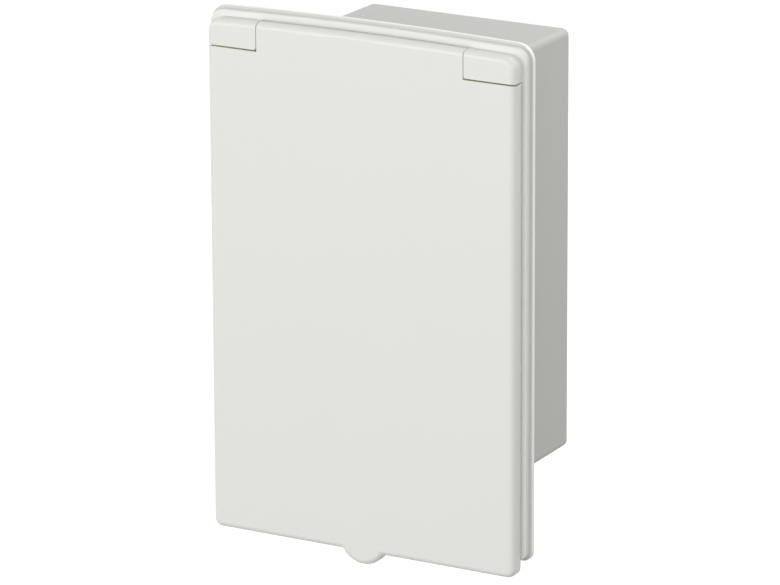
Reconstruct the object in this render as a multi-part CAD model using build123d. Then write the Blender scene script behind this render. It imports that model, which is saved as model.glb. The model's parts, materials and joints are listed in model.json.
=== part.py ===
from build123d import *
import os
from math import cos, hypot, radians, sin, sqrt, tan

# Flush wall box for a caravan supply inlet, with a top-hinged lid.
# Lengths are millimetres and angles degrees. X runs to the right, Y into the
# wall and Z up. The origin lies in the wall face, in the middle of the cut-out.

# Rear box, behind the wall face, and its thin wall flange.
box_width = 79.0
box_height = 150.0
box_depth = 67.3
box_wall = 2.5
box_draft = 0.5
box_corner_r = 2.5
box_back_r = 1.5
box_inner_r = 1.0
flange_side = 21.7
flange_above = 11.3
flange_below = 17.1
flange_thickness = 1.5
flange_corner_r = 6.0
flange_low_r = 3.6
flange_edge_r = 0.25
top_arch = 1.1

# Front frame, which sits on the flange and carries the lid.
frame_inset = 1.0
frame_thickness = 2.5
frame_edge_r = 0.5
lip_height = 1.4
lip_wall = 2.2
lip_corner_r = 6.0
lip_margin = 1.4
wall_hole_r = 2.2
wall_hole_head_r = 4.2
wall_hole_inset = 10.2
wall_hole_rise = 60.0
frame_seal_inset = 4.0
frame_seal_width = 3.0
frame_seal_t = 1.0

# Lid.
lid_gap = 0.3
lid_depth = 5.1
lid_inset = 1.8
lid_drop = 2.1
lid_overhang = 5.3
lid_wall = 2.0
lid_edge_r = 1.95
lid_corner_r = 4.5
lid_low_r = 3.0
lid_arch = 0.95
tab_width = 15.6
tab_drop = 4.5
tab_thickness = 4.4
tab_blend_r = 1.0
lid_rib_h = 2.0
lid_rib_place = 0.35

# Hinge: blocks on the frame, knuckles in the lid, one pin on each side.
block_width = 18.9
block_height = 8.8
block_corner_r = 0.8
block_gap = 0.5
hinge_gap = 0.3
hinge_pin_r = 0.9
hinge_run = 0.05
knuckle_width = 13.0
pin_engage = 12.0
pin_end_gap = 1.0

# Inlet on its sloping carrier, which leans back from the top of the box.
carrier_drop = 100.0
carrier_t = 2.5
carrier_corner_r = 1.2
carrier_rib_t = 1.5
carrier_rib_h = 4.0
carrier_boss_r = 3.8
carrier_boss_h = 3.5
carrier_screw_inset = 6.0
carrier_screw_end = 14.0
ledge_width = 2.5
lug_half = 5.0
foot_rib_inset = 9.0
foot_rib_depth = 4.0
foot_rib_t = 3.0
inlet_flange = 62.0
inlet_flange_t = 4.0
inlet_corner_r = 8.0
inlet_edge_r = 0.8
inlet_foot_gap = 6.0
inlet_hole_pitch = 48.0
shroud_bore_r = 22.0
shroud_wall = 3.0
shroud_length = 36.0
rim_r = 0.7
floor_height = 4.5
collar_step = 2.0
collar_height = 5.0
collar_chamfer = 1.2
spigot_step = 3.4
contact_step = 2.0
keyway_width = 6.0
keyway_depth = 2.6
keyway_wall = 2.2
keyway_corner_r = 2.0
keyway_start = 4.0
pitch_r = 10.5
live_pin_r = 2.5
earth_pin_r = 3.5
live_pin_recess = 9.0
earth_pin_recess = 5.5
contact_rear = 12.0
gasket_t = 1.5
terminal_r = 4.3
terminal_screw_r = 2.0
terminal_level = 6.0
terminal_slot = 0.8
terminal_slot_depth = 0.9
wire_hole_r = 2.0
wire_hole_end = 2.5

# Coupler latch.
latch_width = 10.0
latch_arm = 18.0
latch_arm_t = 3.0
latch_pin_r = 1.5
latch_barrel_r = 3.2
latch_hook = 2.6
latch_hook_length = 6.0
latch_hook_slope = 4.0
latch_thumb = 1.6
latch_thumb_length = 5.0
latch_groove_r = 0.6
ear_t = 3.0
ear_wall = 0.6
ear_root = 5.0
ear_slope = 2.0

# Cable gland in the back wall.
gland_thread_r = 9.9
gland_hex = 24.0
gland_drop = 19.5
gland_wall = 2.4
gland_pocket_wall = 1.6
gland_chamfer = 1.0
gland_tail = 1.5
gland_step = 1.0
gland_cap_end = 3.0
gland_dome_r = 3.5
gland_dome_inset = 0.5
gland_cap_flats = 0.6
locknut_hex = 26.0
cable_r = 5.5

# Screws.
screw_r = 1.7
screw_head_r = 3.3
screw_head_h = 2.1
screw_recess = 1.1
screw_slack = 0.2
screw_bite = 3.5

# Small clearances and embedding depths.
fit = 0.3
snug = 0.1
embed = 1.0
boss_side_gap = 1.2
boss_end_gap = 0.6
notch_gap = 2.0
neck_gap = 1.0
bore_gap = 0.5

# Levels in depth. The front of the object has negative Y.
flange_front = -flange_thickness
frame_front = flange_front - frame_thickness
lip_front = frame_front - lip_height
lid_back = frame_front - lid_gap
lid_front = lid_back - lid_depth
lid_inner = lid_front + lid_wall

# Outlines in the front view.
flange_half = box_width / 2 + flange_side
flange_top = box_height / 2 + flange_above
flange_bottom = -box_height / 2 - flange_below
frame_half = flange_half - frame_inset
frame_top = flange_top - frame_inset
frame_bottom = flange_bottom + frame_inset
lid_half = frame_half - lid_inset
lid_top = frame_top - lid_drop
lid_bottom = frame_bottom - lid_overhang

# Hinge axis, in the middle of the rounding of the lid's upper edge.
hinge_y = lid_front + lid_edge_r
hinge_z = lid_top - lid_edge_r + fit
block_inner = lid_half - block_width
block_bottom = lid_top - block_height
knuckle_inner = block_inner - hinge_gap - knuckle_width
hinge_relief_r = hypot(hinge_y - lid_front, hinge_z - block_bottom) + block_gap
skirt_reach = frame_front - hinge_gap - hinge_y
skirt_rise = lid_top + lid_arch - hinge_z
top_skirt_back = hinge_y + sqrt(skirt_reach**2 - skirt_rise**2)

# Inside of the rear box.
inner_half = box_width / 2 - box_wall
inner_high = box_height / 2 - box_wall
inner_back = box_depth - box_wall
draft_run = tan(radians(box_draft))

# Sealing lip of the frame around the window.
lip_half = box_width / 2
lip_top = block_bottom - block_gap - lid_wall - lip_margin
lip_bottom = -box_height / 2
seal_side = 0.6
seal_rib = 1.2
seal_rib_h = 1.6

# Corner screws of the frame, with their bosses in the rear box.
boss_r = 4.5
boss_depth = 15.0
corner_x = lip_half - lip_wall - boss_r - boss_side_gap
corner_top = lip_top - lip_wall - boss_r - boss_end_gap
corner_bottom = lip_bottom + lip_wall + boss_r + boss_end_gap
screw_length = 12.0

# Inlet plane: the carrier runs from the back wall up to the front of the top.
carrier_foot_y = inner_back - carrier_t
carrier_head_y = carrier_t
carrier_length = hypot(carrier_foot_y - carrier_head_y, carrier_drop)
carrier_foot_z = inner_high - carrier_t - carrier_drop
tilt_c = carrier_drop / carrier_length
tilt_s = (carrier_foot_y - carrier_head_y) / carrier_length
inlet_seat = inlet_flange / 2 + inlet_foot_gap
inlet_y = carrier_foot_y - inlet_seat * tilt_s
inlet_z = carrier_foot_z + inlet_seat * tilt_c
inlet_plane = Plane(
    origin=(0, inlet_y, inlet_z),
    x_dir=(1, 0, 0),
    z_dir=(0, -tilt_c, -tilt_s),
)
carrier_half = inner_half - inner_back * draft_run - fit
carrier_rib_gap = (tilt_c * (carrier_t + carrier_rib_h) - carrier_t + fit) / tilt_s
ledge_x = carrier_half + fit - ledge_width
carrier_rib_x = ledge_x - carrier_rib_t - carrier_t
carrier_rise = carrier_length - inlet_seat
carrier_notch_z = corner_top - boss_r - notch_gap
carrier_notch = (carrier_notch_z - inlet_z) / tilt_c
carrier_neck = corner_x - boss_r - neck_gap
carrier_screw_x = carrier_neck - carrier_screw_inset
carrier_screw_y = carrier_rise - carrier_screw_end

# Levels along the inlet's own axis, from the carrier's front face.
seat = gasket_t
flange_face = seat + inlet_flange_t
floor_face = seat + floor_height
rim_face = seat + shroud_length
shroud_r = shroud_bore_r + shroud_wall
carrier_bore_r = shroud_bore_r + bore_gap
spigot_r = shroud_bore_r - spigot_step
contact_r = spigot_r - contact_step
contact_shoulder = -carrier_t
latch_y = inlet_flange / 2 + latch_barrel_r + fit
latch_z = flange_face + latch_barrel_r + fit
ear_inner = latch_width / 2 + fit

# Gland levels along Y.
gland_z = inner_high - gland_drop
washer_t = 1.5
washer_r = gland_hex / 2
gland_hex_y = box_depth + washer_t
gland_hex_t = 5.0
gland_neck_y = gland_hex_y + gland_hex_t
gland_neck = 7.0
gland_cap_y = gland_neck_y + gland_step
gland_cap_length = 14.0
locknut_t = 5.0
gland_bore_r = gland_thread_r - gland_wall
gland_seal_r = gland_thread_r - gland_pocket_wall

# Magnet catch.
magnet_width = 22.0
magnet_height = 6.0
magnet_length = 2.5
magnet_back = frame_front - fit
magnet_wall = 1.5
magnet_proud = 0.5
catch_z = (lip_bottom + frame_bottom) / 2
catch_t = 1.2
catch_margin = 1.5
catch_corner_r = 1.5


def slab(x0, x1, y0, y1, z0, z1):
    """Box between two corners."""
    middle = Pos((x0 + x1) / 2, (y0 + y1) / 2, (z0 + z1) / 2)
    return middle * Box(abs(x1 - x0), abs(y1 - y0), abs(z1 - z0))


def prism(sketch, front, back):
    """Front-view sketch carried through the depth from front to back."""
    return extrude(Plane.XZ.offset(-back) * sketch, amount=back - front)


def rounded_outline(half, bottom, top, arch, corner_r, low_r):
    """Upright rounded rectangle whose upper edge rises a little in the middle."""
    sides = Polyline((half, top), (half, bottom), (-half, bottom), (-half, top))
    crown = ThreePointArc((-half, top), (0, top + arch), (half, top))
    face = make_face([*sides.edges(), crown.edge()])
    face = fillet(face.vertices().group_by(Axis.Y)[-1], corner_r)
    return fillet(face.vertices().group_by(Axis.Y)[0], low_r)


def rounded_rect(half, bottom, top, corner_r):
    """Upright rounded rectangle."""
    sketch = RectangleRounded(2 * half, top - bottom, corner_r)
    return Pos(0, (top + bottom) / 2) * sketch


def grown(half, bottom, top, corner_r, by):
    """Rounded rectangle with every edge moved out by one amount."""
    return rounded_rect(half + by, bottom - by, top + by, corner_r + by)


def both_sides(shape):
    """A shape together with its mirror image across the middle plane."""
    return shape + mirror(shape, about=Plane.YZ)


def along_x(radius, x0, x1, y, z):
    """Round bar parallel to X."""
    bar = Cylinder(radius, abs(x1 - x0))
    return Pos((x0 + x1) / 2, y, z) * Rot(0, 90, 0) * bar


def along_y(radius, y0, y1, x, z):
    """Round bar parallel to Y."""
    bar = Cylinder(radius, abs(y1 - y0))
    return Pos(x, (y0 + y1) / 2, z) * Rot(90, 0, 0) * bar


def rod(radius, z0, z1, x=0.0, y=0.0):
    """Round bar parallel to the local Z axis."""
    return Pos(x, y, (z0 + z1) / 2) * Cylinder(radius, abs(z1 - z0))


def at_inlet(shape):
    """Move a shape from the inlet's own axes into place."""
    return inlet_plane.location * shape


def inlet_point(y, z):
    """Depth and height of a point given in the inlet's own axes."""
    return inlet_y - tilt_s * y - tilt_c * z, inlet_z + tilt_c * y - tilt_s * z


def pan_screw(length, shank_r=screw_r, head_r=screw_head_r, head_h=screw_head_h):
    """Pan-head screw with a cross recess, head seated on the plane Z = 0."""
    head = rod(head_r, 0, head_h)
    head = fillet(head.edges().group_by(Axis.Z)[-1], head_h * 0.6)
    half = screw_recess / 2
    reach = head_r * 0.55
    recess = slab(-half, half, -reach, reach, head_h * 0.4, 2 * head_h)
    head = head - recess - Rot(0, 0, 90) * recess
    shank = chamfer(rod(shank_r, -length, 0).edges().group_by(Axis.Z)[0], shank_r * 0.45)
    return head + shank


def corner_points():
    """Front-view places of the frame's corner screws."""
    levels = (corner_top, corner_bottom)
    return [(side * corner_x, level) for side in (-1, 1) for level in levels]


def wall_hole_points():
    """Front-view places of the wall screw holes."""
    x = frame_half - wall_hole_inset
    return [(i * x, j * wall_hole_rise) for i in (-1, 1) for j in (-1, 1)]


def inlet_hole_points():
    """Places of the inlet screws in the inlet's own axes."""
    half = inlet_hole_pitch / 2
    return [(i * half, j * half) for i in (-1, 1) for j in (-1, 1)]


def contact_points():
    """Places of the live, neutral and earth pins in the inlet's own axes."""
    x = pitch_r * cos(radians(30))
    y = pitch_r * sin(radians(30))
    return {"live": (x, y), "neutral": (-x, y), "earth": (0.0, -pitch_r)}


def tub_form(inset, corner_r, front, back):
    """Drafted body of the tub, moved in by one amount on every side."""
    faces = []
    for y in (front, back):
        shrink = inset + y * draft_run
        sketch = RectangleRounded(box_width - 2 * shrink, box_height - 2 * shrink, corner_r)
        faces.append(Plane.XZ.offset(-y) * sketch)
    return loft(faces)


def make_rear_box():
    """Tub with the wall flange, screw bosses and supports for the carrier."""
    shell = tub_form(0, box_corner_r, 0, box_depth)
    shell = fillet(shell.edges().group_by(Axis.Y)[-1], box_back_r)
    outline = rounded_outline(
        flange_half, flange_bottom, flange_top, top_arch, flange_corner_r, flange_low_r
    )
    flange = prism(outline, flange_front, 0)
    flange = fillet(flange.edges().group_by(Axis.Y)[0], flange_edge_r)
    body = shell + flange - tub_form(box_wall, box_inner_r, flange_front, inner_back)
    body = body + tub_details()
    for x, z in corner_points():
        body = body - along_y(screw_r, flange_front, frame_front + screw_length, x, z)
    for x, z in wall_hole_points():
        body = body - along_y(wall_hole_r, flange_front, 0, x, z)
    for side in (-1, 1):
        pilot = rod(screw_r, -screw_length, 0, side * carrier_screw_x, carrier_screw_y)
        body = body - at_inlet(pilot)
    return body - along_y(gland_thread_r + fit, inner_back, box_depth, 0, gland_z)


def tub_details():
    """Bosses, lugs and ledges that stand inside the tub."""
    wall_x = inner_half + embed
    details = []
    for z in (corner_top, corner_bottom):
        boss = along_y(boss_r, flange_front, boss_depth, corner_x, z)
        web = slab(corner_x, wall_x, flange_front, boss_depth, z - boss_r, z + boss_r)
        details.append(both_sides(boss + web))
    ledge = slab(
        ledge_x,
        wall_x,
        -inlet_seat + carrier_t,
        inlet_flange / 2,
        -2 * carrier_t,
        -carrier_t,
    )
    details.append(both_sides(at_inlet(ledge)))
    corners = [
        inlet_point(carrier_screw_y - lug_half, -carrier_t),
        inlet_point(carrier_screw_y + lug_half, -carrier_t),
    ]
    top = inner_high + embed
    tail = inlet_point(carrier_screw_y - lug_half, -carrier_t - screw_length)
    rear = (tail[0], max(tail[1], top))
    profile = Polyline(
        corners[0], corners[1], (corners[1][0], top), rear, tail, close=True
    )
    lug = extrude(
        Plane.YZ.offset(carrier_screw_x - lug_half) * make_face(profile),
        amount=2 * lug_half,
    )
    details.append(both_sides(lug))
    rib_half = inner_half - foot_rib_inset
    rib_z = carrier_foot_z - fit
    details.append(
        slab(
            -rib_half,
            rib_half,
            inner_back - foot_rib_depth,
            inner_back + embed,
            rib_z - foot_rib_t,
            rib_z,
        )
    )
    return details


def lid_outline():
    """Front-view outline of the lid without its tab."""
    return rounded_outline(
        lid_half, lid_bottom, lid_top, lid_arch, lid_corner_r, lid_low_r
    )


def lid_form(back):
    """Outer form of the lid without its tab, softly rounded at the front."""
    form = prism(lid_outline(), lid_front, back)
    return fillet(form.edges().group_by(Axis.Y)[0], lid_edge_r)


def corner_window(inner, low, corner_r):
    """Front-view patch of one upper corner, rounded at its lower inner corner."""
    width = 2 * lid_half - inner
    height = lid_top + 2 * top_arch + lid_edge_r - low
    patch = Pos(inner + width / 2, low + height / 2) * Rectangle(width, height)
    corner = patch.vertices().sort_by_distance((inner, low, 0))[0]
    return fillet(corner, corner_r)


def make_front_frame():
    """Stepped frame with lip, screw tabs and hinge blocks."""
    outline = rounded_outline(
        frame_half,
        frame_bottom,
        frame_top,
        top_arch,
        flange_corner_r - frame_inset,
        flange_low_r - frame_inset,
    )
    base = prism(outline, frame_front, flange_front)
    base = fillet(base.edges().group_by(Axis.Y)[0], frame_edge_r)
    window = grown(lip_half, lip_bottom, lip_top, lip_corner_r, -lip_wall)
    lip = prism(
        rounded_rect(lip_half, lip_bottom, lip_top, lip_corner_r),
        lip_front,
        frame_front + embed,
    )
    lip = fillet(lip.edges().group_by(Axis.Y)[0], lip_wall * 0.2)
    lip = lip - prism(window, lip_front, frame_front + embed)
    patch = corner_window(block_inner, block_bottom, block_corner_r)
    block = lid_form(frame_front + embed) & prism(patch, lid_front, frame_front + embed)
    body = base + lip + both_sides(block)
    opening = window
    for x, z in corner_points():
        opening = opening - screw_tab(x, z)
    body = body - prism(opening, lip_front, flange_front)
    for x, z in corner_points():
        body = body - along_y(screw_r + screw_slack, frame_front, flange_front, x, z)
    for x, z in wall_hole_points():
        body = body - wall_hole(x, z)
    pin_x = block_inner + pin_engage
    body = body - both_sides(along_x(hinge_pin_r, block_inner, pin_x, hinge_y, hinge_z))
    body = body - frame_seal_form()
    return body - catch_form()


def screw_tab(x, z):
    """Front-view fill of one window corner around its screw."""
    side = 1 if x > 0 else -1
    end_x = side * lip_half
    end_z = lip_top if z > 0 else lip_bottom
    reach = boss_r + fit
    tab = Pos(x, z) * Circle(reach)
    wide = abs(end_x - x)
    tall = abs(end_z - z)
    tab += Pos((x + end_x) / 2, z) * Rectangle(wide, 2 * reach)
    tab += Pos(x, (z + end_z) / 2) * Rectangle(2 * reach, tall)
    return tab + Pos((x + end_x) / 2, (z + end_z) / 2) * Rectangle(wide, tall)


def wall_hole(x, z):
    """Countersunk hole for a wall screw."""
    sink = wall_hole_head_r - wall_hole_r
    cone = Cone(wall_hole_r, wall_hole_head_r, sink)
    cone = Pos(x, frame_front + sink / 2, z) * Rot(90, 0, 0) * cone
    return cone + along_y(wall_hole_r, frame_front, flange_front, x, z)


def frame_seal_form():
    """Flat ring in the back of the frame, near its edge."""
    rings = []
    for inset in (frame_seal_inset, frame_seal_inset + frame_seal_width):
        half = frame_half - inset
        low = frame_bottom + inset
        high = frame_top - inset
        ring = rounded_outline(half, low, high, top_arch, flange_corner_r, flange_low_r)
        rings.append(ring)
    return prism(rings[0] - rings[1], flange_front - frame_seal_t, flange_front)


def catch_form():
    """Strike plate, flush with the front of the frame."""
    wide = magnet_width + 2 * catch_margin
    high = magnet_height + 2 * catch_margin
    plate = Pos(0, catch_z) * RectangleRounded(wide, high, catch_corner_r)
    return prism(plate, frame_front, frame_front + catch_t)


def notched_lid_outline():
    """Front-view outline of the lid with room for the hinge blocks."""
    patch = lid_notch()
    return lid_outline() - patch - mirror(patch, about=Plane.YZ)


def lid_notch():
    """Front-view room for the right hinge block."""
    corner_r = block_corner_r + hinge_gap
    return corner_window(block_inner - hinge_gap, block_bottom - block_gap, corner_r)


def finger_tab():
    """Front-view outline of the finger tab with blended roots."""
    radius = (tab_width**2 / 4 + tab_drop**2) / (2 * tab_drop)
    root = lid_bottom + lid_edge_r + lid_wall
    half = tab_width / 2 + 3 * tab_blend_r
    strip = Pos(0, (root + lid_bottom) / 2) * Rectangle(2 * half, root - lid_bottom)
    disc = Pos(0, lid_bottom - tab_drop + radius) * Circle(radius)
    ceiling = Pos(0, root + radius) * Rectangle(4 * radius, 2 * radius)
    shape = strip + (disc - ceiling)
    ends = [
        v
        for v in shape.vertices()
        if abs(v.Y - lid_bottom) < 0.01 and abs(v.X) < half - tab_blend_r
    ]
    return fillet(ends, tab_blend_r)


def make_lid():
    """One-piece lid shell with tab, knuckles, seal channel and magnet pocket."""
    form = prism(lid_outline(), lid_front, lid_back)
    form = form + prism(finger_tab(), lid_front, lid_front + tab_thickness)
    form = fillet(form.edges().group_by(Axis.Y)[0], lid_edge_r)
    cavity = offset(notched_lid_outline(), amount=-lid_wall)
    shell = form - prism(cavity, lid_inner, lid_back)
    shell = shell + lid_inside()
    inner = block_inner - hinge_gap
    knuckle = form & slab(
        knuckle_inner,
        inner,
        lid_front,
        hinge_y + lid_edge_r,
        hinge_z - lid_edge_r,
        lid_top + top_arch,
    )
    shell = shell + both_sides(knuckle)
    notch = prism(lid_notch(), lid_front, lid_back)
    notch = notch + along_x(hinge_relief_r, inner, 2 * lid_half, hinge_y, hinge_z)
    bore = along_x(hinge_pin_r + hinge_run, knuckle_inner, inner, hinge_y, hinge_z)
    shell = shell - both_sides(notch) - both_sides(bore)
    above = slab(
        -lid_half, lid_half, top_skirt_back, lid_back, block_bottom, flange_top
    )
    return shell - above - magnet_form()


def lid_inside():
    """Seal channel, stiffening ribs and magnet pocket on the lid's inner face."""
    inside = []
    frame = (lip_half, lip_bottom, lip_top, lip_corner_r)
    base = lid_inner - lid_wall / 2
    crest = lid_inner + seal_rib_h
    start = seal_side + snug
    outer = grown(*frame, start + seal_rib) - grown(*frame, start)
    inside.append(prism(outer, base, crest))
    start = lip_wall + seal_side + snug
    inner = grown(*frame, -start) - grown(*frame, -start - seal_rib)
    inside.append(prism(inner, base, crest))
    rib_low = lip_bottom + lip_wall + seal_side
    rib_high = lip_top - lip_wall - seal_side
    rib_x = lid_half * lid_rib_place
    rib_crest = lid_inner + lid_rib_h
    rib = slab(rib_x, rib_x + seal_rib, base, rib_crest, rib_low, rib_high)
    inside.append(both_sides(rib))
    half = magnet_width / 2 + magnet_wall
    high = magnet_height / 2 + magnet_wall
    pocket = magnet_back - magnet_proud
    inside.append(slab(-half, half, base, pocket, catch_z - high, catch_z + high))
    return inside


def magnet_form():
    """Bar magnet in its pocket."""
    half = magnet_width / 2
    high = magnet_height / 2
    return slab(
        -half, half, magnet_back - magnet_length, magnet_back, catch_z - high, catch_z + high
    )


def make_lid_seal():
    """Rubber ring between the two ribs of the lid's seal channel."""
    frame = (lip_half, lip_bottom, lip_top, lip_corner_r)
    ring = grown(*frame, seal_side) - grown(*frame, -lip_wall - seal_side)
    return prism(ring, lid_inner, lip_front - snug)


def make_hinge_pin():
    """Steel pin on the right, fixed in the frame's block."""
    start = knuckle_inner + pin_end_gap
    pin = along_x(hinge_pin_r, start, block_inner + pin_engage, hinge_y, hinge_z)
    return chamfer(pin.edges().group_by(Axis.X)[0], hinge_pin_r * 0.3)


def make_frame_screws():
    """Four screws through the window corners of the frame."""
    screws = []
    for x, z in corner_points():
        place = Plane(origin=(x, frame_front, z), x_dir=(1, 0, 0), z_dir=(0, -1, 0))
        screws.append(place.location * pan_screw(screw_length))
    return Compound(children=screws)


def make_inlet_carrier():
    """Sloping plate with the round seat of the inlet and its screw bosses."""
    low = -inlet_seat
    plate = slab(-carrier_half, carrier_half, low, carrier_notch, -carrier_t, 0)
    neck = slab(-carrier_neck, carrier_neck, low, carrier_rise, -carrier_t, 0)
    body = plate + neck
    body = fillet(body.edges().filter_by(Axis.Z), carrier_corner_r)
    rib_end = carrier_rib_x + carrier_rib_t
    rib_start = low + carrier_rib_gap
    rib_low = -carrier_t - carrier_rib_h
    rib = slab(carrier_rib_x, rib_end, rib_start, inlet_flange / 2, rib_low, -carrier_t)
    body = body + both_sides(rib)
    boss_low = -carrier_t - carrier_boss_h
    for x, y in inlet_hole_points():
        body = body + rod(carrier_boss_r, boss_low, -carrier_t, x, y)
    for x, y in inlet_hole_points():
        body = body - rod(screw_r, boss_low, 0, x, y)
    for side in (-1, 1):
        x = side * carrier_screw_x
        body = body - rod(screw_r + screw_slack, -carrier_t, 0, x, carrier_screw_y)
    return at_inlet(body - rod(carrier_bore_r, -carrier_t, 0))


def make_carrier_screws():
    """Two screws at the upper end of the carrier."""
    screws = []
    for side in (-1, 1):
        place = Pos(side * carrier_screw_x, carrier_screw_y, 0)
        screws.append(at_inlet(place * pan_screw(screw_length)))
    return Compound(children=screws)


def make_inlet_gasket():
    """Flat gasket between carrier and inlet."""
    square = RectangleRounded(inlet_flange, inlet_flange, inlet_corner_r)
    body = extrude(square, amount=gasket_t)
    body = body - rod(carrier_bore_r, 0, gasket_t)
    for x, y in inlet_hole_points():
        body = body - rod(screw_r + screw_slack, 0, gasket_t, x, y)
    return at_inlet(body)


def make_inlet_body():
    """Round shroud with keyway on a square flange, with ears for the latch."""
    key_half = keyway_width / 2 + keyway_wall
    square = RectangleRounded(inlet_flange, inlet_flange, inlet_corner_r)
    flange = Pos(0, 0, seat) * extrude(square, amount=inlet_flange_t)
    flange = fillet(flange.edges().group_by(Axis.Z)[-1], inlet_edge_r)
    key_low = -shroud_bore_r - keyway_depth
    bump_low = key_low - keyway_wall
    bump = Pos(0, bump_low / 2) * Rectangle(2 * key_half, -bump_low)
    bump = fillet(bump.vertices().group_by(Axis.Y)[0], keyway_corner_r)
    tube = extrude(Pos(0, 0, seat) * (Circle(shroud_r) + bump), amount=shroud_length)
    tube = fillet(tube.faces().sort_by(Axis.Z)[-1].edges(), rim_r)
    collar = rod(shroud_r + collar_step, flange_face, flange_face + collar_height)
    collar = chamfer(collar.edges().group_by(Axis.Z)[-1], collar_chamfer)
    body = flange + tube + collar + latch_ears()
    groove = Pos(0, key_low / 2) * Rectangle(keyway_width, -key_low)
    key_floor = floor_face + keyway_start
    body = body - rod(shroud_bore_r, floor_face, rim_face)
    body = body - extrude(Pos(0, 0, key_floor) * groove, amount=shroud_length)
    body = body - rod(spigot_r + snug, seat, floor_face)
    for x, y in inlet_hole_points():
        body = body - rod(screw_r + screw_slack, seat, flange_face, x, y)
    return at_inlet(body)


def latch_ears():
    """Two ears at the upper edge of the inlet flange."""
    root = inlet_flange / 2 - ear_root
    ear_r = latch_barrel_r + ear_wall
    profile = Pos(latch_y, latch_z) * Circle(ear_r)
    tall = latch_z - seat
    deep = latch_y + ear_r - root
    profile += Pos(root + deep / 2, seat + tall / 2) * Rectangle(deep, tall)
    wedge = [
        (root, flange_face),
        (root, latch_z - ear_slope),
        (latch_y, latch_z + ear_slope),
        (latch_y, flange_face),
    ]
    profile += make_face(Polyline(*wedge, close=True))
    ear = extrude(Plane.YZ.offset(ear_inner) * profile, amount=ear_t)
    ears = both_sides(ear)
    reach = ear_inner + ear_t
    return ears - along_x(latch_pin_r, -reach, reach, latch_y, latch_z)


def make_coupler_latch():
    """Hook lever that falls over the nose of a plugged coupler."""
    half = latch_width / 2
    top = latch_y + latch_barrel_r
    low = top - latch_arm_t
    tip = latch_z + latch_arm
    heel = latch_y - latch_barrel_r
    heel_low = flange_face + snug
    profile = Pos(latch_y, latch_z) * Circle(latch_barrel_r)
    heel_block = Rectangle(latch_y - heel, latch_z - heel_low)
    profile += Pos((heel + latch_y) / 2, (heel_low + latch_z) / 2) * heel_block
    thumb = top + latch_thumb
    hook = [
        (low, latch_z),
        (top, latch_z),
        (top, tip - latch_thumb_length),
        (thumb, tip - latch_groove_r),
        (thumb - latch_groove_r, tip),
        (low, tip),
        (low - latch_hook, tip - latch_hook_slope),
        (low - latch_hook, tip - latch_hook_length),
        (low, tip - latch_hook_length),
    ]
    profile += make_face(Polyline(*hook, close=True))
    lever = extrude(Plane.YZ.offset(-half) * profile, amount=latch_width)
    for share in (0.4, 0.7):
        level = tip - latch_thumb_length * (1 - share)
        crest = top + latch_thumb * share + latch_groove_r / 2
        lever = lever - along_x(latch_groove_r, -half, half, crest, level)
    bore = along_x(latch_pin_r + hinge_run, -half, half, latch_y, latch_z)
    return at_inlet(lever - bore)


def make_latch_pin():
    """Pivot of the latch, held in the ears."""
    reach = ear_inner + ear_t
    return at_inlet(along_x(latch_pin_r, -reach, reach, latch_y, latch_z))


def make_inlet_screws():
    """Four screws of the inlet flange."""
    screws = []
    length = flange_face + carrier_t + screw_bite
    for x, y in inlet_hole_points():
        screws.append(at_inlet(Pos(x, y, flange_face) * pan_screw(length)))
    return Compound(children=screws)


def make_contact_carrier():
    """Insulating insert with a pocket and a screw hole for each terminal."""
    body = rod(spigot_r, contact_shoulder, floor_face)
    body = body + rod(carrier_bore_r - fit, contact_shoulder, seat)
    body = body + rod(contact_r, -contact_rear, contact_shoulder)
    for name, (x, y) in contact_points().items():
        radius = earth_pin_r if name == "earth" else live_pin_r
        body = body - rod(radius, -contact_rear, floor_face, x, y)
        body = body - rod(terminal_r, -contact_rear, contact_shoulder, x, y)
        body = body - terminal_bore(x, y, terminal_screw_r + fit, contact_r + embed)
    return at_inlet(body)


def terminal_place(x, y):
    """Frame on the axis of one clamping screw, pointing outwards."""
    turn = Vector(x, y).get_signed_angle(Vector(1, 0))
    level = -contact_rear + terminal_level
    return Rot(0, 0, -turn) * Pos(pitch_r, 0, level) * Rot(0, 90, 0)


def terminal_bore(x, y, radius, reach):
    """Round room from a terminal's axis outwards."""
    return terminal_place(x, y) * rod(radius, 0, reach - pitch_r)


def make_pin(name):
    """Contact pin with its screw terminal behind."""
    x, y = contact_points()[name]
    radius = earth_pin_r if name == "earth" else live_pin_r
    recess = earth_pin_recess if name == "earth" else live_pin_recess
    tail = -contact_rear + embed
    pin = rod(radius, contact_shoulder - embed, rim_face - recess, x, y)
    pin = fillet(pin.edges().group_by(Axis.Z)[-1], radius * 0.6)
    pin = pin + rod(terminal_r, tail, contact_shoulder, x, y)
    pin = pin - rod(wire_hole_r, tail, contact_shoulder - wire_hole_end, x, y)
    return at_inlet(pin - terminal_bore(x, y, terminal_screw_r, contact_r))


def make_terminal_screws():
    """Slotted clamping screws of the three terminals."""
    screws = []
    length = contact_r - pitch_r - fit
    half = terminal_slot / 2
    for x, y in contact_points().values():
        screw = rod(terminal_screw_r, 0, length)
        slot_low = length - terminal_slot_depth
        slot = slab(-terminal_r, terminal_r, -half, half, slot_low, length + embed)
        screws.append(at_inlet(terminal_place(x, y) * (screw - slot)))
    return Compound(children=screws)


def gland_axis(y):
    """Frame on the gland's axis at one depth, pointing out of the back."""
    return Plane(origin=(0, y, gland_z), x_dir=(1, 0, 0), z_dir=(0, 1, 0)).location


def hexagon(across_flats, height):
    """Hexagonal prism with its corners turned off."""
    corner_r = across_flats / 2 / cos(radians(30))
    body = extrude(RegularPolygon(corner_r, 6), amount=height)
    blank = rod(corner_r, 0, height)
    blank = chamfer(blank.edges().filter_by(GeomType.CIRCLE), gland_chamfer)
    return body & blank


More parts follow.
